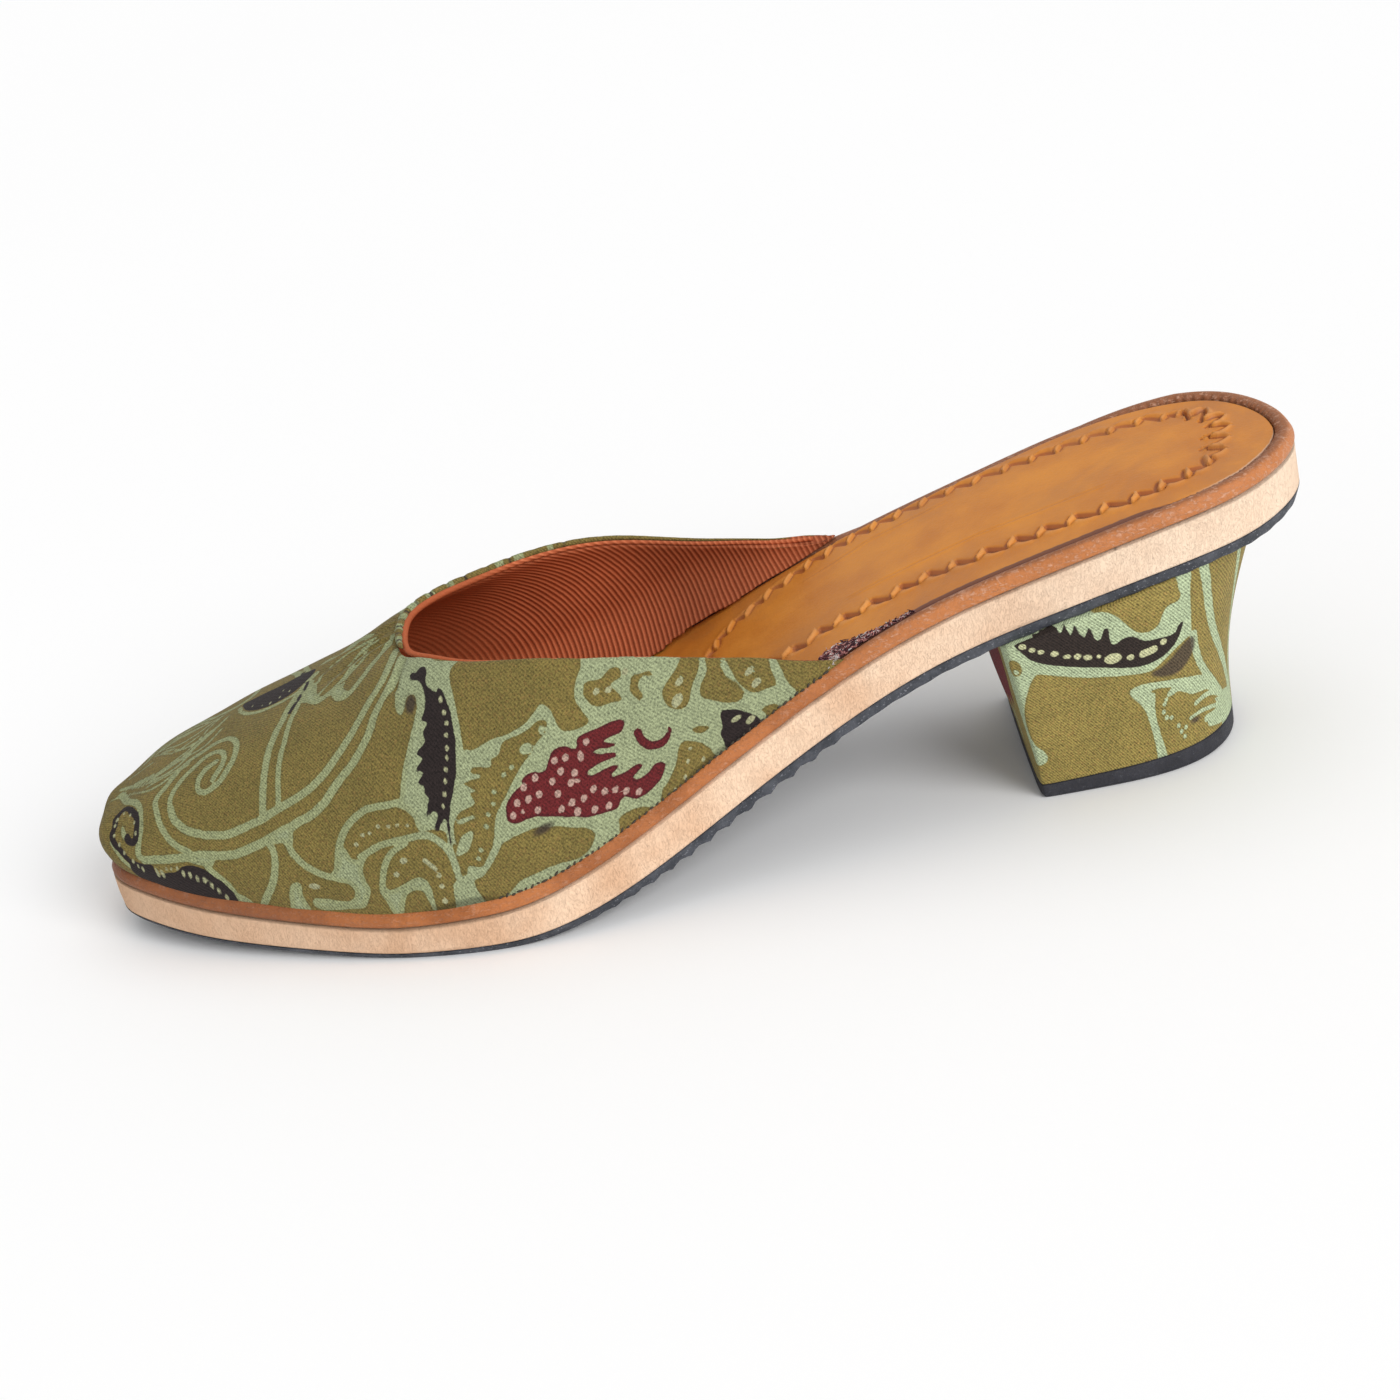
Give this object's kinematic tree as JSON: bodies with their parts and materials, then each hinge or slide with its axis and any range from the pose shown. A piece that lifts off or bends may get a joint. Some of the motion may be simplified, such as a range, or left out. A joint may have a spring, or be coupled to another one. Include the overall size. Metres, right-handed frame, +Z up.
{
  "type": "heeled mule",
  "caption": "Right shoe: closed-toe mule with no back, cloth upper on a foam sole with a leather rand, tooled insole and a flared cloth-covered block heel.",
  "frame": {"origin": "on the floor, under the middle of the shoe's box", "axes": "the toe points to -X and the heel to +X, the inner (big toe) side is -Y, +Z is up"},
  "size_m": [0.2498, 0.0882, 0.0607],
  "materials": {
    "outsole": "matt slate rubber",
    "midsole": "peach foam with fine pores",
    "rand": "glossy terracotta leather",
    "insole": "tooled tan leather",
    "upper": "batik cotton, olive with mint lines",
    "heel": "batik cotton over the block",
    "top_piece": "matt slate rubber"
  },
  "bodies": {
    "root": {"outsole": "outsole", "midsole": "midsole", "rand": "rand", "insole": "insole", "upper": "upper", "heel": "heel", "top_piece": "top_piece"}
  },
  "joints": []
}
